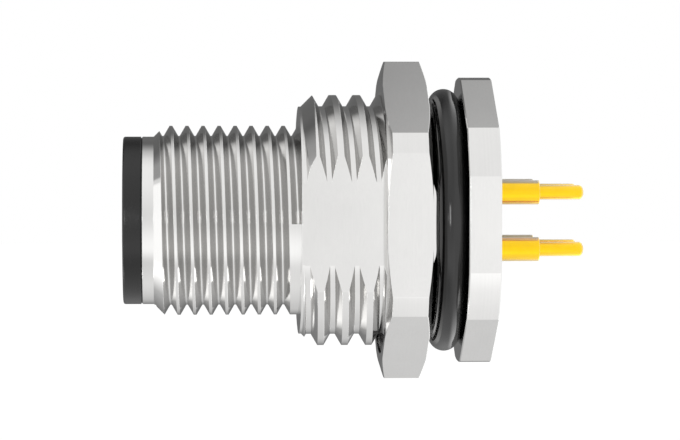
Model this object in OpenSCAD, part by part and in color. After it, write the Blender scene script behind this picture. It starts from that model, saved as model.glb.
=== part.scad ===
// Panel-mount circular connector with a 12 mm coupling thread and four male contacts.
// Millimetres. The axis lies along X: the mating nose points to -X, the solder tails to +X.
// The origin is on the axis, at the flange face that the sealing ring sits against.
// Threads are turned as rings at their true pitch, depth and flank angle.

/* [Coupling thread] */
// Diameter over the crests of the coupling thread
coupling_d = 11.8; // [11.5:0.05:12.4]
// Distance from one coupling crest to the next
coupling_pitch = 1; // [0.8:0.05:1.3]
// Depth of a coupling thread groove
coupling_depth = 0.63; // [0.4:0.01:0.66]
// Length of the metal nose, from its front edge to the shoulder
coupling_l = 9.78; // [9:0.02:13]
// Height of the bevel that leads from the plain pilot up to the thread's crests
pilot_bevel = 0.675; // [0.55:0.005:0.85]
// Length of the plain pilot
pilot_l = 0.77; // [0.4:0.01:1.2]
// Length of the plain collar between the coupling thread and the shoulder
collar_l = 0.45; // [0.3:0.01:1]
// Wall of the shell below the coupling thread's grooves
nose_wall = 0.42; // [0.3:0.01:0.7]

/* [Panel thread] */
// Diameter over the crests of the panel thread
panel_d = 15.64; // [15.2:0.02:16.4]
// Distance from one panel thread crest to the next
panel_pitch = 1.5; // [1.3:0.05:1.7]
// Depth of a panel thread groove
panel_depth = 0.7; // [0.4:0.01:0.8]
// Length of the threaded barrel, from the shoulder to the ring neck
panel_l = 8.06; // [7:0.02:12]
// Height of the bevel round the shoulder
shoulder_bevel = 0.7; // [0.3:0.01:0.9]
// Width of the land between the shoulder face and its bevel
shoulder_land = 0.15; // [0.05:0.01:0.4]
// Plain length behind the shoulder bevel, ahead of the first panel groove
panel_lead = 0.35; // [0.2:0.01:0.6]
// Distance of the locating flat from the axis
flat_offset = 6.65; // [6.4:0.01:7.4]

/* [Flange] */
// Reach of the flange's flats beyond the panel ring
flange_margin = 0.215; // [0:0.005:1]
// Height that is turned off each of the flange's corners
flange_corner_cut = 0.81; // [0.3:0.01:1.1]
// Thickness of the flange
flange_t = 1.97; // [1.2:0.01:3]
// Height of the bevel on the flange's turned corners
flange_bevel = 0.15; // [0.05:0.01:0.3]
// Wall of the neck that carries the panel ring
neck_wall = 0.8; // [0.6:0.01:1.1]

/* [Nut] */
// Wall of the nut at its flats, outside the panel thread's crests
nut_wall = 1.08; // [0.9:0.01:2]
// Height that is turned off each of the nut's corners
nut_corner_cut = 0.37; // [0.1:0.01:0.8]
// Thickness of the nut
nut_t = 2.75; // [2:0.01:4]
// Height of the nut's corner bevel
nut_bevel = 0.91; // [0.4:0.01:1.2]
// Angle of the nut's corner bevel from its face
nut_bevel_angle = 15; // [8:1:35]
// Height of the countersink at each end of the nut's hole
nut_countersink = 0.3; // [0.1:0.01:0.5]
// Space between the nut and the panel ring as supplied
nut_gap = 0.27; // [0.26:0.01:2]

/* [Panel ring] */
// Thickness of the panel ring's cord
ring_cord_d = 1.88; // [1.5:0.02:2]

/* [Carrier] */
// Wall of the carrier round the cavity that the mating plug enters
carrier_wall = 0.53; // [0.4:0.01:0.8]
// Depth of the cavity behind the nose's front face
cavity_depth = 9.2; // [8:0.1:10]
// Length of the carrier's lip ahead of the shell
lip_l = 1.13; // [0.6:0.01:1.6]
// Radius on the front edges of the carrier's lip
lip_round = 0.15; // [0.05:0.01:0.3]
// Width of the coding key
key_w = 1.1; // [0.8:0.05:1.6]
// Height of the coding key above the cavity wall
key_h = 0.75; // [0.4:0.05:1]
// Distance of the key's front end behind the nose's front face
key_setback = 0.5; // [0.2:0.05:1.5]
// Depth of the groove round the carrier for its own ring
carrier_groove = 0.85; // [0.6:0.01:0.95]
// Distance from the carrier's rear face to the middle of that groove
carrier_groove_back = 3.2; // [2:0.1:5]

/* [Rear well] */
// Height of the step from the carrier's bore out to the well behind it
well_step = 0.65; // [0.2:0.01:0.8]
// Depth of the well below the flange's rear face
well_depth = 4.47; // [3:0.01:5.5]
// Distance of the sealing compound below the flange's rear face
seal_recess = 0.3; // [0.1:0.05:1]

/* [Contacts] */
// Distance of the contacts' centres from the cavity wall
contact_inset = 1.8; // [1.6:0.01:2]
// Diameter of a contact in the cavity
pin_d = 1; // [0.8:0.02:1.1]
// Distance of a contact's front tip behind the nose's front face
pin_setback = 1.2; // [0.6:0.05:2]
// Diameter of a contact where it passes through the cavity floor
floor_land_d = 1.4; // [1.3:0.02:1.6]
// Diameter of a contact's shoulder inside the carrier
contact_collar_d = 1.9; // [1.7:0.05:2.1]
// Distance of a contact's shoulder below the carrier's rear face
collar_recess = 0.5; // [0.2:0.05:1.5]
// Thickness of the cavity floor ahead of the contact shoulders
floor_t = 1.3; // [0.6:0.05:2]
// Diameter of a contact behind the carrier
shank_d = 1.5; // [1.2:0.02:1.6]
// Length of a contact's shank behind the flange
shank_l = 2.96; // [1.5:0.01:4]
// Diameter of a solder tail
tail_d = 0.9; // [0.6:0.02:1.1]
// Length of a solder tail behind the shank
tail_l = 2.8; // [1.5:0.02:5]
// Length of the rounded end of a solder tail
tail_tip_l = 0.3; // [0.1:0.01:0.4]

/* [Fits] */
// Radial play between the nut's hole and the panel thread's crests
nut_play = 0.05; // [0.02:0.01:0.1]
// Play between pieces that are fitted together
fit_play = 0.02; // [0.01:0.01:0.04]

/* [Hidden] */

contact_count = 4;
first_contact_angle = 45;
hexagon_sides = 6;
flank_angle = 30;
coupling_root_flat = 0.05;
panel_root_flat = 0.3;
facets = 96;
small_facets = 36;
arc_step = 15;
overrun = 1;

carrier_bore_d = coupling_d - 2 * coupling_depth - 2 * nose_wall;
carrier_d = carrier_bore_d - 2 * fit_play;
cavity_d = carrier_d - 2 * carrier_wall;
contact_circle_d = cavity_d - 2 * contact_inset;
pilot_d = coupling_d - 2 * pilot_bevel;
well_d = carrier_bore_d + 2 * well_step;
neck_d = well_d + 2 * neck_wall;
flange_af = neck_d + 2 * fit_play + 2 * ring_cord_d + 2 * flange_margin;
flange_corner_d = flange_af / cos(180 / hexagon_sides) - 2 * flange_corner_cut;
nut_af = panel_d + 2 * nut_wall;
nut_corner_d = nut_af / cos(180 / hexagon_sides) - 2 * nut_corner_cut;
neck_spare = 0.03;
ring_x = -(ring_cord_d / 2 + fit_play);
neck_l = ring_cord_d + fit_play + neck_spare;
shoulder_x = -(neck_l + panel_l);
shell_front_x = shoulder_x - coupling_l;
nose_x = shell_front_x - lip_l;
floor_x = nose_x + cavity_depth;
well_x = flange_t - well_depth;
nut_back_x = ring_x - ring_cord_d / 2 - nut_gap;
nut_bore_d = panel_d + 2 * nut_play;
collar_front_x = floor_x + floor_t;
shank_end_x = flange_t + shank_l;
tail_end_x = shank_end_x + tail_l;

// Turns a section, given as points of radius and X, round the X axis
module turned(section, fn = facets) {
    rotate([0, 90, 0])
        rotate_extrude($fn = fn)
            polygon(section);
}

// Stands a flat outline across the X axis, from one X to another
module across(from_x, to_x) {
    translate([from_x, 0, 0])
        rotate([0, 90, 0])
            linear_extrude(to_x - from_x)
                children();
}

// Width of a thread groove at the crests
function groove_w(depth, root_flat) = root_flat + 2 * depth * tan(flank_angle);

// Section of one thread groove, centred on x
function groove(x, crest_r, depth, root_flat) = let(open = groove_w(depth, root_flat) / 2)
    [[crest_r, x - open], [crest_r - depth, x - root_flat / 2],
        [crest_r - depth, x + root_flat / 2], [crest_r, x + open]];

// Outline of a hexagon with turned corners, flats facing along Y
module turned_hexagon(af, corner_d) {
    intersection() {
        circle(r = af / 2 / cos(180 / hexagon_sides), $fn = hexagon_sides);
        circle(d = corner_d, $fn = facets);
    }
}

// Centre of each contact, looking along X: local x runs down, local y runs back
function contact_place(index) = let(angle = first_contact_angle + 360 / contact_count * (index - 1))
    contact_circle_d / 2 * [cos(angle), sin(angle)];

module at_contact(index) {
    translate([0, contact_place(index)[1], -contact_place(index)[0]]) children();
}

// Outside of the turned barrel, with both threads
module barrel() {
    crest_r = coupling_d / 2;
    panel_r = panel_d / 2;
    lead_x = shell_front_x + pilot_l + pilot_bevel;
    collar_x = shoulder_x - collar_l;
    coupling_half = groove_w(coupling_depth, coupling_root_flat) / 2;
    coupling_grooves = floor((collar_x - lead_x - 2 * coupling_half) / coupling_pitch) + 1;
    panel_half = groove_w(panel_depth, panel_root_flat) / 2;
    bevel_x = shoulder_x + shoulder_land + shoulder_bevel;
    first_x = bevel_x + panel_lead + panel_half;
    panel_grooves = floor((-neck_l - first_x - panel_half) / panel_pitch) + 1;
    turned(concat(
        [[0, shell_front_x], [pilot_d / 2, shell_front_x], [pilot_d / 2, shell_front_x + pilot_l]],
        [[crest_r, lead_x]],
        [for (i = [coupling_grooves - 1 : -1 : 0])
            each groove(collar_x - coupling_half - i * coupling_pitch,
                crest_r, coupling_depth, coupling_root_flat)],
        [[crest_r, shoulder_x], [panel_r - shoulder_bevel, shoulder_x]],
        [[panel_r - shoulder_bevel, shoulder_x + shoulder_land], [panel_r, bevel_x]],
        [for (i = [0 : panel_grooves - 1])
            each groove(first_x + i * panel_pitch, panel_r, panel_depth, panel_root_flat)],
        [[panel_r, -neck_l], [neck_d / 2, -neck_l], [neck_d / 2, flange_t / 2], [0, flange_t / 2]]));
}

// Six-sided flange with turned corners and a bevel on each
module flange() {
    corner_r = flange_corner_d / 2;
    intersection() {
        across(0, flange_t) turned_hexagon(flange_af, flange_corner_d + overrun);
        turned([[0, 0], [corner_r - flange_bevel, 0], [corner_r, flange_bevel],
            [corner_r, flange_t - flange_bevel], [corner_r - flange_bevel, flange_t], [0, flange_t]]);
    }
}

// Room inside the shell for the carrier and the sealing compound
module shell_room() {
    turned([[0, shell_front_x - overrun], [carrier_bore_d / 2, shell_front_x - overrun],
        [carrier_bore_d / 2, well_x], [well_d / 2, well_x],
        [well_d / 2, flange_t + overrun], [0, flange_t + overrun]]);
}

// Everything in front of the locating flat of the threaded barrel
module flat_cut() {
    translate([shoulder_x, -panel_d, -panel_d])
        cube([panel_l, panel_d - flat_offset, 2 * panel_d]);
}

module shell() {
    color("gainsboro")
        difference() {
            union() {
                barrel();
                flange();
            }
            shell_room();
            flat_cut();
        }
}

// Hole through the carrier for one contact, stepped for its shoulder
module contact_hole() {
    turned([[0, floor_x - overrun], [floor_land_d / 2 + fit_play, floor_x - overrun],
        [floor_land_d / 2 + fit_play, collar_front_x - fit_play],
        [contact_collar_d / 2 + fit_play, collar_front_x - fit_play],
        [contact_collar_d / 2 + fit_play, well_x + overrun], [0, well_x + overrun]], small_facets);
}

// Round-nosed key along the top of the cavity, rooted in the cavity wall
module coding_key() {
    key_top = (cavity_d + carrier_d) / 4;
    across(nose_x + key_setback, floor_x + floor_t / 2)
        translate([-key_top, 0])
            union() {
                translate([0, -key_w / 2])
                    square([key_h + key_top - cavity_d / 2 - key_w / 2 + fit_play, key_w]);
                translate([key_h + key_top - cavity_d / 2 - key_w / 2, 0])
                    circle(d = key_w, $fn = small_facets);
            }
}

module contact_carrier() {
    lip_r = pilot_d / 2;
    groove_x = well_x - carrier_groove_back;
    groove_half = carrier_groove / 2 + fit_play;
    quarter = [for (angle = [0 : arc_step : 90]) [cos(angle), sin(angle)]];
    color("dimgray")
        difference() {
            union() {
                turned(concat(
                    [for (q = quarter) [cavity_d / 2 + lip_round, nose_x + lip_round]
                        - lip_round * [q[0], q[1]]],
                    [for (i = [len(quarter) - 1 : -1 : 0]) [lip_r - lip_round, nose_x + lip_round]
                        + lip_round * [quarter[i][0], -quarter[i][1]]],
                    [[lip_r, shell_front_x - fit_play], [carrier_d / 2, shell_front_x - fit_play],
                        [carrier_d / 2, groove_x - groove_half],
                        [carrier_d / 2 - carrier_groove, groove_x - groove_half],
                        [carrier_d / 2 - carrier_groove, groove_x + groove_half],
                        [carrier_d / 2, groove_x + groove_half],
                        [carrier_d / 2, well_x], [0, well_x], [0, floor_x], [cavity_d / 2, floor_x]]));
                coding_key();
            }
            for (i = [1 : contact_count]) at_contact(i) contact_hole();
        }
}

// Round ring made of cord, its middle at one X
module ring(x, inner_r, cord_d) {
    translate([x, 0, 0])
        rotate([0, 90, 0])
            rotate_extrude($fn = facets)
                translate([inner_r + cord_d / 2, 0])
                    circle(d = cord_d, $fn = small_facets);
}

module carrier_ring() {
    color("black")
        ring(well_x - carrier_groove_back, carrier_d / 2 - carrier_groove + fit_play,
            carrier_groove - fit_play);
}

module sealing_compound() {
    compound_r = well_d / 2 - fit_play;
    front_x = well_x + fit_play;
    back_x = flange_t - seal_recess;
    color("darkslategray")
        difference() {
            turned([[0, front_x], [compound_r, front_x], [compound_r, back_x], [0, back_x]]);
            for (i = [1 : contact_count])
                at_contact(i)
                    across(front_x - overrun, back_x + overrun)
                        circle(d = shank_d + 2 * fit_play, $fn = small_facets);
        }
}

// One turned contact: pin with a round tip, land in the floor, shoulder, shank and solder tail
module contact(index) {
    pin_r = pin_d / 2;
    tail_r = tail_d / 2;
    tip_x = nose_x + pin_setback;
    collar_end_x = well_x - collar_recess;
    color("gold")
        at_contact(index)
            turned(concat(
                [for (angle = [0 : arc_step : 90]) [pin_r * sin(angle), tip_x + pin_r - pin_r * cos(angle)]],
                [[pin_r, floor_x], [floor_land_d / 2, floor_x],
                    [floor_land_d / 2, collar_front_x], [contact_collar_d / 2, collar_front_x],
                    [contact_collar_d / 2, collar_end_x], [shank_d / 2, collar_end_x],
                    [shank_d / 2, shank_end_x], [tail_r, shank_end_x]],
                [for (angle = [0 : arc_step : 90]) [tail_r * cos(angle),
                    tail_end_x - tail_tip_l + tail_tip_l * sin(angle)]]), small_facets);
}

module panel_ring() {
    color("black") ring(ring_x, neck_d / 2 + fit_play, ring_cord_d);
}

module hex_nut() {
    corner_r = nut_corner_d / 2;
    bevel_r = corner_r - nut_bevel;
    bevel_w = nut_bevel * tan(nut_bevel_angle);
    bore_r = nut_bore_d / 2;
    front_x = nut_back_x - nut_t;
    color("silver")
        intersection() {
            across(front_x, nut_back_x) turned_hexagon(nut_af, nut_corner_d + overrun);
            turned([[bore_r + nut_countersink, front_x], [bevel_r, front_x],
                [corner_r, front_x + bevel_w], [corner_r, nut_back_x - bevel_w],
                [bevel_r, nut_back_x], [bore_r + nut_countersink, nut_back_x],
                [bore_r, nut_back_x - nut_countersink], [bore_r, front_x + nut_countersink]]);
        }
}

shell();
contact_carrier();
carrier_ring();
sealing_compound();
for (i = [1 : contact_count])
    contact(i);
panel_ring();
hex_nut();
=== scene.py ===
import bpy, bmesh, math
import numpy as np
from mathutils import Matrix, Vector


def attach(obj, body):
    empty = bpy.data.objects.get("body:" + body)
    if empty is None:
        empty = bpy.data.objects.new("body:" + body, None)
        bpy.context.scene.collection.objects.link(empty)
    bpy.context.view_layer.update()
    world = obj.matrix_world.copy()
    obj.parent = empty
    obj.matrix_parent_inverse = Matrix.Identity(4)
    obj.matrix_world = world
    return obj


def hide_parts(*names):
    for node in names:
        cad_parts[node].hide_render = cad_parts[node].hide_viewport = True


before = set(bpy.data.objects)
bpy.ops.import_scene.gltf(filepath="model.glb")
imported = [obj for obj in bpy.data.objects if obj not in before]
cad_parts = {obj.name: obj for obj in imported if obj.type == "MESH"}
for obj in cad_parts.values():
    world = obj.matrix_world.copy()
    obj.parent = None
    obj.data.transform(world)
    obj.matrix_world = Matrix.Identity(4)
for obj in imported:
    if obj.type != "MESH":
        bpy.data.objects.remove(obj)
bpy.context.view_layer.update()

# Lengths are written in millimetres and turned into metres where a mesh or a node is made.
# Angles round the axis start at +Y and turn towards +Z, so the near side, -Y, lies at NEAR.
MM = 0.001
NEAR = math.pi

# Camera: the photograph's viewing angle, found from the flange's and the nut's corners
TARGET = Vector((-7.37, 0, 0)) * MM
AZIMUTH, ELEVATION = math.radians(-2.87), math.radians(2.1)
DISTANCE, LENS, SENSOR = 200 * MM, 169.1, 36
CLIP_START, CLIP_END = 5 * MM, 20
cam_data = bpy.data.cameras.new("camera")
cam = bpy.data.objects.new("camera", cam_data)
bpy.context.scene.collection.objects.link(cam)
back = Vector((math.sin(AZIMUTH) * math.cos(ELEVATION), -math.cos(AZIMUTH) * math.cos(ELEVATION),
               math.sin(ELEVATION)))
cam.location = TARGET + back * DISTANCE
cam.rotation_mode = "QUATERNION"
cam.rotation_quaternion = (-back).to_track_quat("-Z", "Y")
cam_data.sensor_width, cam_data.lens = SENSOR, LENS
cam_data.clip_start, cam_data.clip_end = CLIP_START, CLIP_END
bpy.context.scene.camera = cam
bpy.context.scene.view_settings.view_transform = "Standard"


# Mesh makers

def new_object(name, verts, faces):
    """An object made from points in mm, with its faces' normals pointing outwards."""
    mesh = bpy.data.meshes.new(name)
    mesh.from_pydata([tuple(float(c) * MM for c in v) for v in verts], [], faces)
    mesh.validate()
    bm = bmesh.new()
    bm.from_mesh(mesh)
    bmesh.ops.recalc_face_normals(bm, faces=bm.faces)
    bm.to_mesh(mesh)
    bm.free()
    obj = bpy.data.objects.new(name, mesh)
    bpy.context.scene.collection.objects.link(obj)
    return obj


def on_circle(x, r, angle):
    """The point at x along the axis and r from it."""
    return x, r * math.cos(angle), r * math.sin(angle)


def turned(name, section, count=192, closed=False):
    """A body of revolution round X. section lists (x, r); closed joins its last point to its first."""
    verts, rings = [], []
    for x, r in section:
        start = len(verts)
        if r == 0:
            verts.append((x, 0, 0))
            rings.append([start] * count)
        else:
            verts += [on_circle(x, r, 2 * math.pi * i / count) for i in range(count)]
            rings.append(list(range(start, start + count)))
    pairs = list(zip(rings, rings[1:])) + ([(rings[-1], rings[0])] if closed else [])
    faces = []
    for one, two in pairs:
        for i in range(count):
            j = (i + 1) % count
            quad = [one[i], one[j], two[j], two[i]]
            corners = [v for k, v in enumerate(quad) if v != quad[k - 1]]
            if len(corners) > 2:
                faces.append(corners)
    return new_object(name, verts, faces)


def hexagon(name, af, x0, x1, edge=0.0):
    """A hexagonal prism with flats facing along Y; edge is the bevel round its -X face."""
    stations = [(x0, af - 2 * edge), (x0 + edge, af), (x1, af)] if edge else [(x0, af), (x1, af)]
    verts = [on_circle(x, across / math.sqrt(3), math.radians(30 + 60 * k))
             for x, across in stations for k in range(6)]
    last = len(verts) - 6
    faces = [list(range(6)), list(range(last + 5, last - 1, -1))]
    faces += [[n + k, n + (k + 1) % 6, n + 6 + (k + 1) % 6, n + 6 + k]
              for n in range(0, last, 6) for k in range(6)]
    return new_object(name, verts, faces)


def block(name, low, high):
    """A box between two corners."""
    (x0, y0, z0), (x1, y1, z1) = low, high
    verts = [(x, y, z) for x in (x0, x1) for y in (y0, y1) for z in (z0, z1)]
    faces = [[0, 1, 3, 2], [4, 6, 7, 5], [0, 4, 5, 1], [2, 3, 7, 6], [0, 2, 6, 4], [1, 5, 7, 3]]
    return new_object(name, verts, faces)


def helix(name, section, pitch, x_at_near, turn_from, turn_to, steps=120):
    """A right-handed sweep of section, (x offset, r) pairs. Its middle is at x_at_near on the near
    side at turn 0, and a turn has so many steps."""
    verts, faces, n = [], [], len(section)
    count = int(round((turn_to - turn_from) * steps))
    for i in range(count + 1):
        t = turn_from + (turn_to - turn_from) * i / count
        a = NEAR + 2 * math.pi * t
        verts += [on_circle(x_at_near + pitch * t + dx, r, a) for dx, r in section]
    for i in range(count):
        for k in range(n):
            m = (k + 1) % n
            faces.append([i * n + k, i * n + m, (i + 1) * n + m, (i + 1) * n + k])
    faces += [list(range(n)), [count * n + k for k in reversed(range(n))]]
    return new_object(name, verts, faces)


FLANK_SLOPE = math.tan(math.radians(30))


def groove_section(root_r, root_width, out_r):
    """A thread groove's section with 30 degree flanks: root_width wide at root_r, open at out_r."""
    half = root_width / 2 + (out_r - root_r) * FLANK_SLOPE
    return [(-half, out_r), (-root_width / 2, root_r), (root_width / 2, root_r), (half, out_r)]


def inner_groove_section(root_r, root_width, in_r):
    """The same for a groove cut outwards into a hole's wall, open at in_r."""
    half = root_width / 2 + (root_r - in_r) * FLANK_SLOPE
    return [(-half, in_r), (half, in_r), (root_width / 2, root_r), (-root_width / 2, root_r)]


def arc(x, r, radius, start, stop, steps):
    """Points of an arc round (x, r), for a section; the angles are in degrees."""
    return [(x + radius * math.cos(math.radians(a)), r + radius * math.sin(math.radians(a)))
            for a in np.linspace(start, stop, steps + 1)]


def combine(obj, tool, operation):
    """Exact boolean of obj with tool, which is used up."""
    mod = obj.modifiers.new("cut", "BOOLEAN")
    mod.operation, mod.object, mod.solver = operation, tool, "EXACT"
    dg = bpy.context.evaluated_depsgraph_get()
    dg.update()
    mesh = bpy.data.meshes.new_from_object(obj.evaluated_get(dg))
    obj.modifiers.clear()
    old, obj.data = obj.data, mesh
    gone = tool.data
    bpy.data.objects.remove(tool)
    bpy.data.meshes.remove(old)
    bpy.data.meshes.remove(gone)


def merge_close(obj, within=0.0004):
    """Joins points that lie closer than within, in mm."""
    bm = bmesh.new()
    bm.from_mesh(obj.data)
    bmesh.ops.remove_doubles(bm, verts=bm.verts, dist=within * MM)
    bmesh.ops.dissolve_degenerate(bm, dist=within * MM, edges=bm.edges)
    bm.to_mesh(obj.data)
    bm.free()


def smooth(obj, sharp_from=None):
    """Smooth shading, with edges sharper than sharp_from degrees left sharp where it is given."""
    obj.data.polygons.foreach_set("use_smooth", [True] * len(obj.data.polygons))
    if sharp_from is not None:
        obj.data.set_sharp_from_angle(angle=math.radians(sharp_from))


# A face is flat if its normal lies this close to the axis or to a flat's direction, or if less than
# WALL of it lies in a plane through the axis, as at a groove's end wall. It is a thread's flank if
# the normal's part along the radius lies between the last two.
SQUARE, FLAT, WALL, FLANK_LOW, FLANK_HIGH = 0.9999, 0.99995, 0.8, 0.3, 0.7


def round_normals(obj, flats, leads):
    """Gives every face of a turned or threaded body the normals of the true surface instead of its
    facets'. flats lists directions whose faces stay flat; leads lists (lowest x, highest x, pitch)
    of threads."""
    smooth(obj)
    mesh = obj.data
    co = np.array([v.co for v in mesh.vertices]) / MM
    normals = np.zeros((len(mesh.loops), 3))
    for p in mesh.polygons:
        c = co[list(p.vertices)].mean(axis=0)
        n = np.array(p.normal)
        r = math.hypot(c[1], c[2]) or 1e-9
        radial = (n[1] * c[1] + n[2] * c[2]) / r
        if (abs(n[0]) > SQUARE or any(n @ flat > FLAT for flat in flats)
                or math.hypot(n[0], radial) < WALL):
            normals[list(p.loop_indices)] = n
            continue
        lead = next((pitch for low, high, pitch in leads if low < c[0] < high), 0)
        flank = FLANK_LOW < abs(radial) < FLANK_HIGH
        for k, v in zip(p.loop_indices, p.vertices):
            y, z = co[v][1], co[v][2]
            rv = math.hypot(y, z) or 1e-9
            across = -n[0] * lead / (2 * math.pi * rv) if flank else 0
            out = np.array([n[0], radial * y / rv - across * z / rv, radial * z / rv + across * y / rv])
            normals[k] = out / np.linalg.norm(out)
    mesh.normals_split_custom_set(normals.tolist())


# Shader nodes

def nodes_of(name):
    """A new material, its tree and its Principled shader."""
    mat = bpy.data.materials.new(name)
    mat.use_nodes = True
    tree = mat.node_tree
    return mat, tree, tree.nodes["Principled BSDF"]


def glowing(name, strength):
    """A new material that only glows, its tree and its Emission shader."""
    mat = bpy.data.materials.new(name)
    mat.use_nodes = True
    tree = mat.node_tree
    tree.nodes.clear()
    out = tree.nodes.new("ShaderNodeOutputMaterial")
    glow = tree.nodes.new("ShaderNodeEmission")
    glow.inputs["Strength"].default_value = strength
    link(tree, glow.outputs[0], out.inputs["Surface"])
    return mat, tree, glow


def link(tree, output, socket):
    tree.links.new(output, socket)


def feed(tree, value, socket):
    """Sets a socket to a number, or links it to another node's output."""
    if isinstance(value, (int, float)):
        socket.default_value = value
    else:
        link(tree, value, socket)


def computed(tree, operation, *values):
    """A Math node on values, each a number or an output."""
    node = tree.nodes.new("ShaderNodeMath")
    node.operation = operation
    for value, socket in zip(values, node.inputs):
        feed(tree, value, socket)
    return node.outputs[0]


def split(tree, output):
    """The X, Y and Z outputs of one of Texture Coordinate's outputs."""
    where = tree.nodes.new("ShaderNodeTexCoord")
    parts = tree.nodes.new("ShaderNodeSeparateXYZ")
    link(tree, where.outputs[output], parts.inputs[0])
    return parts.outputs


def joined(tree, x, y):
    """A vector of two outputs."""
    node = tree.nodes.new("ShaderNodeCombineXYZ")
    link(tree, x, node.inputs["X"])
    link(tree, y, node.inputs["Y"])
    return node.outputs[0]


def noise_at(tree, vector, scale, detail, rough):
    tex = tree.nodes.new("ShaderNodeTexNoise")
    tex.inputs["Scale"].default_value = scale
    tex.inputs["Detail"].default_value = detail
    tex.inputs["Roughness"].default_value = rough
    link(tree, vector, tex.inputs["Vector"])
    return tex.outputs["Fac"]


def noise(tree, scale, detail=3.0, stretch=(1, 1, 1), rough=0.5):
    """Noise over the object, finer along an axis where stretch is larger."""
    where = tree.nodes.new("ShaderNodeTexCoord")
    mapping = tree.nodes.new("ShaderNodeMapping")
    mapping.inputs["Scale"].default_value = tuple(scale * s for s in stretch)
    link(tree, where.outputs["Object"], mapping.inputs["Vector"])
    return noise_at(tree, mapping.outputs["Vector"], 1.0, detail, rough)


def turned_marks(tree, scale):
    """Noise in narrow rings round the X axis, across cylinders and faces alike."""
    parts = split(tree, "Object")
    radius = tree.nodes.new("ShaderNodeVectorMath")
    radius.operation = "LENGTH"
    link(tree, joined(tree, parts["Y"], parts["Z"]), radius.inputs[0])
    return noise_at(tree, joined(tree, parts["X"], radius.outputs["Value"]), scale, 3.0, 0.6)


# Places of the sockets factor, A and B and of the output, for each kind of Mix node
MIX_SOCKETS = {"FLOAT": (0, 2, 3, 0), "RGBA": (0, 6, 7, 2)}


def mixed(tree, share, one, two, kind="FLOAT", blend="MIX"):
    """A Mix node of two outputs; share is a number or an output."""
    factor, a, b, result = MIX_SOCKETS[kind]
    node = tree.nodes.new("ShaderNodeMix")
    node.data_type, node.blend_type = kind, blend
    feed(tree, share, node.inputs[factor])
    link(tree, one, node.inputs[a])
    link(tree, two, node.inputs[b])
    return node.outputs[result]


# Most of a noise's values lie in this range
NOISE_LOW, NOISE_HIGH = 0.3, 0.7


def ranged(tree, value, low, high, from_low=NOISE_LOW, from_high=NOISE_HIGH):
    """A Map Range node that turns from_low into low and from_high into high."""
    node = tree.nodes.new("ShaderNodeMapRange")
    node.inputs["From Min"].default_value = from_low
    node.inputs["From Max"].default_value = from_high
    node.inputs["To Min"].default_value = low
    node.inputs["To Max"].default_value = high
    link(tree, value, node.inputs["Value"])
    return node.outputs["Result"]


def ramp(tree, value, stops, interpolation="LINEAR"):
    """A Color Ramp node; stops lists (position, colour)."""
    node = tree.nodes.new("ShaderNodeValToRGB")
    node.color_ramp.interpolation = interpolation
    elements = node.color_ramp.elements
    while len(elements) < len(stops):
        elements.new(0.5)
    for element, (position, colour) in zip(elements, stops):
        element.position, element.color = position, (*colour, 1)
    link(tree, value, node.inputs["Fac"])
    return node.outputs["Color"]


def colours(tree, value, dark, light):
    """A noise's values turned into colours between dark and light."""
    return ramp(tree, value, [(NOISE_LOW, dark), (NOISE_HIGH, light)])


def bumped(tree, shader, height, depth, edge=0.0):
    """Bumps depth mm high on the shader's normal, which rounds the edges by edge mm in shading."""
    bump = tree.nodes.new("ShaderNodeBump")
    bump.inputs["Strength"].default_value = 1.0
    bump.inputs["Distance"].default_value = depth * MM
    link(tree, height, bump.inputs["Height"])
    if edge:
        bevel = tree.nodes.new("ShaderNodeBevel")
        bevel.samples = 6
        bevel.inputs["Radius"].default_value = edge * MM
        link(tree, bevel.outputs["Normal"], bump.inputs["Normal"])
    link(tree, bump.outputs["Normal"], shader.inputs["Normal"])


# How much of the metal's tone is left from each lean on, the part of a face's normal along the axis:
# painted shade, which darkens the colour on thread flanks and on faces square to the axis
LEAN_SHADES = ((0, 1), (0.806, 0.92), (0.926, 1), (0.985, 0.8))


# Painted shade: the metal's colour is darkened by which way its face leans against the axis
def painted_lean_shade(tree, colour):
    lean = computed(tree, "ABSOLUTE", split(tree, "Normal")["X"])
    share = ramp(tree, lean, [(place, (tone,) * 3) for place, tone in LEAN_SHADES], "CONSTANT")
    return mixed(tree, 1.0, colour, share, "RGBA", "MULTIPLY")


# Materials

def plated_metal(name, dark, light, rough, edge):
    """Satin plating: turned marks that run round the axis, fine grain, slightly uneven tone, and painted
    shade on thread flanks and on faces square to the axis.
    """
    mat, tree, shader = nodes_of(name)
    shader.inputs["Metallic"].default_value = 1.0
    rings = turned_marks(tree, 9 / MM)
    grain = noise(tree, 22 / MM)
    clouds = noise(tree, 0.5 / MM)
    tone = colours(tree, mixed(tree, 0.5, clouds, rings), dark, light)
    # The base colour carries painted shade on thread flanks and on faces square to the axis
    link(tree, painted_lean_shade(tree, tone), shader.inputs["Base Color"])
    link(tree, ranged(tree, rings, rough - 0.015, rough + 0.02), shader.inputs["Roughness"])
    bumped(tree, shader, grain, 0.0003, edge)
    return mat


def moulded(name, dark, light, rough, grain_scale, grain_depth, coat=0.0, edge=0.0, gloss=0.5):
    """Plastic, rubber or resin with a fine grain and slightly uneven tone."""
    mat, tree, shader = nodes_of(name)
    fine = noise(tree, grain_scale / MM, 4.0)
    clouds = noise(tree, 0.7 / MM)
    link(tree, colours(tree, clouds, dark, light), shader.inputs["Base Color"])
    link(tree, ranged(tree, fine, rough - 0.05, rough + 0.06), shader.inputs["Roughness"])
    shader.inputs["Specular IOR Level"].default_value = gloss
    shader.inputs["Coat Weight"].default_value = coat
    shader.inputs["Coat Roughness"].default_value = 0.12
    bumped(tree, shader, fine, grain_depth, edge)
    return mat


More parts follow.
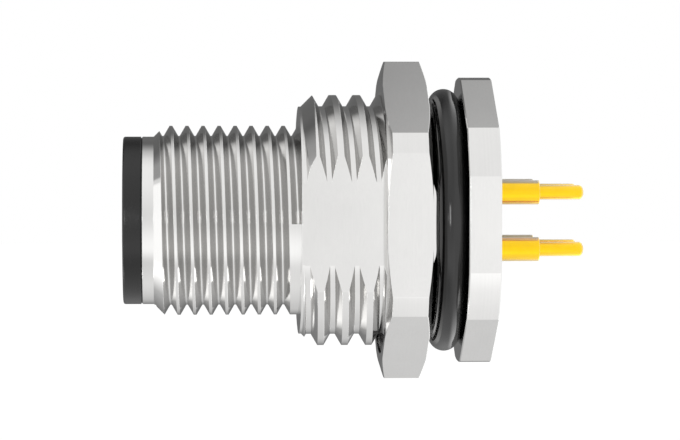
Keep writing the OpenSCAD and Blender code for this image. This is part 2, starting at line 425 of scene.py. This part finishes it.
def gold_plate(name):
    """Bright plating with faint turned marks and a soft sheen towards its edges."""
    mat, tree, shader = nodes_of(name)
    shader.inputs["Metallic"].default_value = 1.0
    rings = noise(tree, 1 / MM, stretch=(18, 0.3, 0.3), rough=0.6)
    clouds = noise(tree, 1.4 / MM)
    link(tree, colours(tree, clouds, (0.79, 0.49, 0.003), (0.83, 0.52, 0.005)), shader.inputs["Base Color"])
    link(tree, ranged(tree, rings, 0.14, 0.22), shader.inputs["Roughness"])
    shader.inputs["Sheen Weight"].default_value = 0.9
    shader.inputs["Sheen Roughness"].default_value = 0.5
    bumped(tree, shader, rings, 0.0002, 0.04)
    return mat


NICKEL = (0.632, 0.628, 0.62), (0.668, 0.663, 0.654)
shell_metal = plated_metal("satin_nickel_shell", *NICKEL, rough=0.08, edge=0.03)
nut_metal = plated_metal("satin_nickel_nut", *NICKEL, rough=0.10, edge=0.05)
black_plastic = moulded("matt_black_plastic", (0.0015, 0.0015, 0.0015), (0.0035, 0.0035, 0.0035),
                        rough=0.22, grain_scale=12, grain_depth=0.0006, edge=0.05, gloss=0.4)
rubber = moulded("black_rubber", (0.003, 0.003, 0.003), (0.005, 0.005, 0.005),
                 rough=0.12, grain_scale=9, grain_depth=0.0004)
resin = moulded("cast_resin", (0.014, 0.014, 0.015), (0.022, 0.022, 0.024),
                rough=0.25, grain_scale=2.2, grain_depth=0.006, coat=0.5)
gold = gold_plate("gold_plate")


def dress(obj, mat, body, slot_name, *nodes):
    """Gives a piece its material and its body, and hides the solids that it replaces; slot_name is not
    used.
    """
    obj.data.materials.clear()
    obj.data.materials.append(mat)
    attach(obj, body)
    if nodes:
        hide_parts(*nodes)


# Shell: the nose with the coupling thread, then the barrel and the flange, then the rooms.
# Joined bodies overlap and cutters reach past the faces they open, because the exact boolean can
# drop a face where two lie in one plane.

BORE_R, PILOT_R, WELL_R, NECK_R = 4.85, 5.225, 5.5, 6.3
COUPLING_R, COUPLING_ROOT, COUPLING_PITCH = 5.9, 5.27, 1.0
PANEL_R, PANEL_ROOT, PANEL_PITCH = 7.82, 7.12, 1.5
FRONT_X, SHOULDER_X, NECK_X, FLANGE_T = -19.73, -9.99, -2.1, 1.97
FLANGE_AF, FLANGE_R = 16.83, 8.907
FRONT_EDGE, FLANGE_EDGE, REAR_EDGE = 0.05, 0.07, 0.04
# Bevels at the start of the two threads, and the curve from the panel thread down to the ring's seat
COUPLING_START, COUPLING_FULL = -19.0, -18.325
SHOULDER_R, PANEL_START, PANEL_FULL = 7.1, -9.84, -9.12
NECK_CURVE = [(NECK_X, 7.15), (-1.86, 6.92), (-1.78, 6.74), (-1.69, 6.62), (-1.6, 6.53),
              (-1.45, 6.42), (-1.3, 6.34), (-1.2, NECK_R)]
FLAT_Y, FLAT_END = -6.65, -1
ROOM_STEP, ROOM_EDGE, ROOM_FLARE = -2.5, 0.12, 0.22
# How far bodies and cutters reach into or past each other
NOSE_OVERLAP, NECK_OVERLAP, DOME, FLAT_REACH = 0.5, 0.8, 0.2, 9
ROOM_FRONT, ROOM_BACK, FLARE_PAST = -21, 3, 0.1

shell = turned("shell_body", [
    (FRONT_X, 0), (FRONT_X, PILOT_R - FRONT_EDGE), (FRONT_X + FRONT_EDGE, PILOT_R),
    (COUPLING_START, PILOT_R), (COUPLING_FULL, COUPLING_R),
    (SHOULDER_X + NOSE_OVERLAP, COUPLING_R), (SHOULDER_X + NOSE_OVERLAP, 0)])
combine(shell, helix("coupling_groove", groove_section(COUPLING_ROOT, 0.1, 6.0), COUPLING_PITCH,
                     x_at_near=-10.18, turn_from=-9.4, turn_to=0.001), "DIFFERENCE")
barrel = turned("barrel", [
    (SHOULDER_X, 0), (SHOULDER_X, SHOULDER_R), (PANEL_START, SHOULDER_R), (PANEL_FULL, PANEL_R),
    (NECK_X, PANEL_R), *NECK_CURVE, (NECK_OVERLAP, NECK_R), (NECK_OVERLAP, 0)])
combine(barrel, helix("panel_groove", groove_section(PANEL_ROOT, 0.3, 8.0), PANEL_PITCH,
                      x_at_near=-8.24, turn_from=-1.6, turn_to=5.2), "DIFFERENCE")
combine(barrel, block("locating_flat", (SHOULDER_X - 1, -FLAT_REACH, -FLAT_REACH),
                      (FLAT_END, FLAT_Y, FLAT_REACH)), "DIFFERENCE")
flange = hexagon("flange_hexagon", FLANGE_AF, 0, FLANGE_T, FLANGE_EDGE)
combine(flange, turned("flange_turning", [
    (-DOME, 0), (0, FLANGE_R - FLANGE_EDGE), (FLANGE_EDGE, FLANGE_R), (FLANGE_T - REAR_EDGE, FLANGE_R),
    (FLANGE_T, FLANGE_R - REAR_EDGE), (FLANGE_T + DOME, 0)]), "INTERSECT")
combine(shell, barrel, "UNION")
combine(shell, flange, "UNION")
combine(shell, turned("rooms", [
    (ROOM_FRONT, 0), (ROOM_FRONT, BORE_R), (ROOM_STEP, BORE_R), (ROOM_STEP, WELL_R),
    (FLANGE_T - ROOM_EDGE, WELL_R), (FLANGE_T + FLARE_PAST, WELL_R + ROOM_FLARE),
    (ROOM_BACK, WELL_R + ROOM_FLARE), (ROOM_BACK, 0)]), "DIFFERENCE")
merge_close(shell)
# Directions of both hexagons' flats, and of the flange's bevels, which face half forwards
HEX_FLATS = [np.array(on_circle(lean, 1, math.radians(60 * k))) / math.hypot(1, lean)
             for k in range(6) for lean in (0, -1)]
round_normals(shell, HEX_FLATS, [(-19.5, -10, COUPLING_PITCH), (-9.9, -2, PANEL_PITCH)])
dress(shell, shell_metal, "connector", "nickel_plated_shell", "shell")

# Nut: a bevelled hexagon with a thread inside that stays clear of the barrel's

NUT_X, NUT_BACK_X, NUT_AF, NUT_R = -4.91, -2.18, 17.8, 9.904
NUT_BEVEL_IN = 0.9
NUT_FACE_R, NUT_BEVEL = NUT_R - NUT_BEVEL_IN, NUT_BEVEL_IN * math.tan(math.radians(17.5))
NUT_HOLE_R, NUT_EDGE, NUT_ROOT = 7.88, 0.15, 8.35
HOLE_CUT_X, HOLE_CUT_END = -5.5, -1.5

nut = hexagon("nut_body", NUT_AF, NUT_X, NUT_BACK_X)
combine(nut, turned("nut_turning", [
    (NUT_X, 0), (NUT_X, NUT_FACE_R), (NUT_X + NUT_BEVEL, NUT_R), (NUT_BACK_X - NUT_BEVEL, NUT_R),
    (NUT_BACK_X, NUT_FACE_R), (NUT_BACK_X, 0)]), "INTERSECT")
combine(nut, turned("nut_hole", [
    (HOLE_CUT_X, 0), (HOLE_CUT_X, NUT_HOLE_R + NUT_EDGE), (NUT_X, NUT_HOLE_R + NUT_EDGE),
    (NUT_X + NUT_EDGE, NUT_HOLE_R), (NUT_BACK_X - NUT_EDGE, NUT_HOLE_R),
    (NUT_BACK_X, NUT_HOLE_R + NUT_EDGE), (HOLE_CUT_END, NUT_HOLE_R + NUT_EDGE),
    (HOLE_CUT_END, 0)]), "DIFFERENCE")
combine(nut, helix("nut_groove", inner_groove_section(NUT_ROOT, 0.2, 7.7), PANEL_PITCH,
                   x_at_near=-5.24, turn_from=-0.6, turn_to=2.6), "DIFFERENCE")
merge_close(nut)
round_normals(nut, HEX_FLATS, [(-4.9, -2.2, PANEL_PITCH)])
dress(nut, nut_metal, "nut", "nickel_plated_nut", "hex_nut")

# Panel's sealing ring: a round cord

RING_COUNT, CORD_COUNT = 160, 48
RING_X, RING_R, CORD_R = -0.91, 7.30, 0.90
cord_angles = [2 * math.pi * k / CORD_COUNT for k in range(CORD_COUNT)]
panel_ring = turned("sealing_ring", [(RING_X + CORD_R * math.cos(a), RING_R + CORD_R * math.sin(a))
                                     for a in cord_angles], RING_COUNT, closed=True)
smooth(panel_ring)
dress(panel_ring, rubber, "connector", "seal_rubber", "panel_ring")

# Contacts: turned pins with small edge rounds, at four places on a circle of 5 mm

SHARP_FROM, PIN_COUNT = 35, 48
PIN_R, STEP_R, COLLAR_R, SHANK_R, TAIL_R = 0.5, 0.7, 0.95, 0.75, 0.45
TIP_X, STEP_X, COLLAR_X, COLLAR_END = -19.7, -11.7, -10.4, -3.0
SHANK_X, SHANK_EDGE, TAIL_X, TAIL_ROUND = 4.87, 0.06, 7.43, 0.3
PIN_SECTION = [
    (TIP_X, 0), *arc(TIP_X + PIN_R, 0, PIN_R, 172.5, 90, 10),
    (STEP_X, PIN_R), (STEP_X, STEP_R), (COLLAR_X, STEP_R), (COLLAR_X, COLLAR_R), (COLLAR_END, COLLAR_R),
    (COLLAR_END, SHANK_R), (SHANK_X, SHANK_R), *arc(SHANK_X, SHANK_R - SHANK_EDGE, SHANK_EDGE, 90, 0, 3),
    (SHANK_X + SHANK_EDGE, TAIL_R),
    *[(TAIL_X + TAIL_ROUND * math.sin(math.radians(a)), TAIL_R * math.cos(math.radians(a)))
      for a in range(0, 90, 9)],
    (TAIL_X + TAIL_ROUND, 0)]
AT = 5 / 2 * math.cos(math.radians(45))
PLACES = [(AT, -AT), (AT, AT), (-AT, AT), (-AT, -AT)]

for index, (y, z) in enumerate(PLACES, 1):
    pin = turned(f"contact_pin_{index}", PIN_SECTION, PIN_COUNT)
    for v in pin.data.vertices:
        v.co.y += y * MM
        v.co.z += z * MM
    smooth(pin, SHARP_FROM)
    dress(pin, gold, "connector", "gold_plated_contact", f"contact_{index}")

# Sealing compound: cast level, creeping up a little at the wall and at each contact

ROWS, COLS = 56, 120
CAST_X, CAST_R = 1.58, 5.48
WALL_CREEP, WALL_REACH, PIN_CREEP, PIN_REACH = 0.16, 0.22, 0.2, 0.2

verts = []
for i in range(ROWS + 1):
    r = CAST_R * (i / ROWS)
    for j in range(COLS):
        y, z = on_circle(0, r, 2 * math.pi * j / COLS)[1:]
        to_pin = min(math.hypot(y - py, z - pz) for py, pz in PLACES)
        creep = (WALL_CREEP * math.exp(-(CAST_R - r) / WALL_REACH)
                 + PIN_CREEP * math.exp(-max(0, to_pin - SHANK_R) / PIN_REACH))
        verts.append((CAST_X + creep, y, z))
faces = [[i * COLS + j, i * COLS + k, (i + 1) * COLS + k, (i + 1) * COLS + j]
         for i in range(ROWS) for j, k in zip(range(COLS), [*range(1, COLS), 0])]
compound = new_object("cast_compound", verts, faces)
merge_close(compound)
smooth(compound)
dress(compound, resin, "connector", "casting_resin", "sealing_compound")

# Step of the carrier between its lip and the shell, a little lower than both: a black plastic ring that
# fills the gap there, painted shade in place of the gap's own shadow

SHADE_GAP_SECTION = [(-19.79, 4.8), (-19.79, 5.15), (-19.735, 5.15), (-19.735, 4.8)]
step = turned("shade_gap_ring", SHADE_GAP_SECTION, RING_COUNT, closed=True)
smooth(step, SHARP_FROM)
dress(step, black_plastic, "connector", "carrier_plastic")

# Carrier and its ring keep their solids and get their materials
for name, mat in (("contact_carrier", black_plastic), ("carrier_ring", rubber)):
    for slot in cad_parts[name].material_slots:
        slot.material = mat


# Stage: a pale floor, a light tent and bright screens that the camera looks through, and the world

FLOOR_LOW, FLOOR_HIGH = (-900, -900, -114), (900, 2500, -112)
# Strengths of the floor's glow where it is seen, and of the world where it lights and where it is seen
FLOOR_GLOW, WORLD_LIGHT, WORLD_SEEN = 0.55, 0.6, 1.0


def looking_rays(tree):
    """1 for rays that show the surroundings: the camera's, reflections and those through glass."""
    path = tree.nodes.new("ShaderNodeLightPath")
    seen = computed(tree, "MAXIMUM", path.outputs["Is Camera Ray"], path.outputs["Is Glossy Ray"])
    return computed(tree, "MAXIMUM", seen, path.outputs["Is Transmission Ray"])


floor = block("floor", FLOOR_LOW, FLOOR_HIGH)
mat, tree, shader = nodes_of("pale_floor")
shader.inputs["Base Color"].default_value = (0.8, 0.8, 0.8, 1)
shader.inputs["Roughness"].default_value = 0.9
shader.inputs["Specular IOR Level"].default_value = 0.0
glow = tree.nodes.new("ShaderNodeEmission")
link(tree, computed(tree, "MULTIPLY", looking_rays(tree), FLOOR_GLOW), glow.inputs["Strength"])
both = tree.nodes.new("ShaderNodeAddShader")
link(tree, shader.outputs[0], both.inputs[0])
link(tree, glow.outputs[0], both.inputs[1])
link(tree, both.outputs[0], tree.nodes["Material Output"].inputs["Surface"])
floor.data.materials.append(mat)

# The tent's strength round the axis at six places along it, each a list of (degrees up from the near
# side, strength)
FRONT = [(-180, 0.30), (-160, 0.60), (-143, 1.20), (-125, 1.60), (-60, 1.60), (60, 1.50),
         (80, 1.20), (97, 1.0), (112, 0.50), (130, 0.42), (145, 0.20), (180, 0.18)]
NOSE = [(-180, 0.16), (-158, 0.30), (-143, 0.55), (-125, 0.82), (-98, 1.05), (-80, 1.02), (-66, 0.92),
        (-53, 0.92), (-40, 1.40), (-25, 1.38), (-8, 1.18), (7, 0.97), (22, 1.08), (37, 1.22),
        (60, 1.31), (82, 1.28), (97, 1.02), (112, 0.62), (126, 0.20), (145, 0.17), (180, 0.16)]
MIDDLE = [(-180, 0.16), (-165, 0.22), (-150, 0.45), (-135, 0.76), (-120, 0.87), (-98, 1.02),
          (-83, 1.10), (-68, 1.10), (-53, 1.17), (-40, 1.39), (-25, 1.40), (-8, 1.20), (7, 1.18),
          (22, 1.17), (37, 1.17), (67, 1.19), (82, 1.14), (97, 0.90), (113, 0.52), (127, 0.27),
          (145, 0.19), (180, 0.16)]
AFT = [(-180, 0.16), (-165, 0.22), (-150, 0.45), (-135, 0.76), (-120, 0.87), (-98, 1.02),
       (-83, 1.15), (-68, 1.22), (-53, 1.34), (-40, 1.54), (-25, 1.48), (-8, 1.34), (7, 1.32),
       (22, 1.22), (37, 1.18), (67, 1.20), (82, 1.16), (97, 0.96), (113, 0.66), (127, 0.34),
       (145, 0.21), (180, 0.16)]
SIDE = [(-180, 0.90), (-155, 1.20), (-138, 2.3), (-104, 2.3), (-85, 1.6), (-60, 1.36), (0, 1.36),
        (60, 1.36), (95, 1.40), (117, 1.60), (133, 1.90), (150, 1.20), (180, 0.90)]
BEHIND = [(-180, 0.90), (-150, 1.20), (-128, 1.40), (-110, 1.48), (-50, 1.32), (60, 1.32),
          (90, 1.32), (113, 1.35), (130, 1.15), (150, 0.95), (180, 0.90)]
BRIGHTEST = 2.5
# Where each list takes over from the one before: from the first x on, and fully from the second
BLENDS = [(NOSE, -150, -95), (MIDDLE, -30, -4), (AFT, -4, 10.4), (SIDE, 12.5, 34), (BEHIND, 60, 120)]
TENT_R, TENT_END, TENT_COUNT = 105, 215, 96

tent = turned("light_tent", [(-TENT_END, TENT_R), (TENT_END, TENT_R)], TENT_COUNT)
tent.data.flip_normals()
mat, tree, glow = glowing("tent_light", BRIGHTEST)
parts = split(tree, "Object")
angle = computed(tree, "ARCTAN2", parts["Z"], computed(tree, "MULTIPLY", parts["Y"], -1))
turn = ranged(tree, angle, 0, 1, -math.pi, math.pi)


def round_ramp(levels):
    """The tent's light round the axis after one of the lists."""
    stops = [((degrees + 180) / 360, (level / BRIGHTEST,) * 3) for degrees, level in levels]
    return ramp(tree, turn, stops, "CARDINAL")


light = round_ramp(FRONT)
for levels, x_from, x_to in BLENDS:
    share = ranged(tree, parts["X"], 0, 1, x_from * MM, x_to * MM)
    light = mixed(tree, share, light, round_ramp(levels), "RGBA")
link(tree, light, glow.inputs["Color"])
tent.data.materials.append(mat)
tent.visible_camera = False

# Bright screens, one across each end and one low in front, and two small lamps:
# name, middle, direction it faces, width, height and strength
SCREENS = [("end_screen_front", (-213, 0, -11), (1, 0, 0), 208, 186, 1.5),
           ("end_screen_back", (213, 0, 0), (-1, 0, 0), 208, 208, 1.35),
           ("low_screen", (-99, 0, -99), (0, 0.1, 1), 48, 36, 5.0),
           ("near_lamp", (-42, -103, 11), (0, 1, -0.1), 20, 30, 6.5),
           ("side_lamp", (-80, -103, 7.7), (0, 1, -0.1), 18, 10, 3.2)]
for name, middle, facing, wide, high, strength in SCREENS:
    side = Vector(facing).cross(Vector((0, 0, 1))).normalized()
    rise = side.cross(Vector(facing)).normalized()
    corners = [Vector(middle) + side * a * wide / 2 + rise * b * high / 2
               for a, b in ((-1, -1), (1, -1), (1, 1), (-1, 1))]
    screen = new_object(name, corners, [[0, 1, 2, 3]])
    screen.data.materials.append(glowing(name, strength)[0])
    screen.visible_camera = False

# World: white where it is seen, soft light where it lights
world = bpy.data.worlds.new("studio")
bpy.context.scene.world = world
world.use_nodes = True
tree = world.node_tree
sky = tree.nodes["Background"]
sky.inputs["Color"].default_value = (1, 1, 1, 1)
link(tree, ranged(tree, looking_rays(tree), WORLD_LIGHT, WORLD_SEEN, 0, 1), sky.inputs["Strength"])
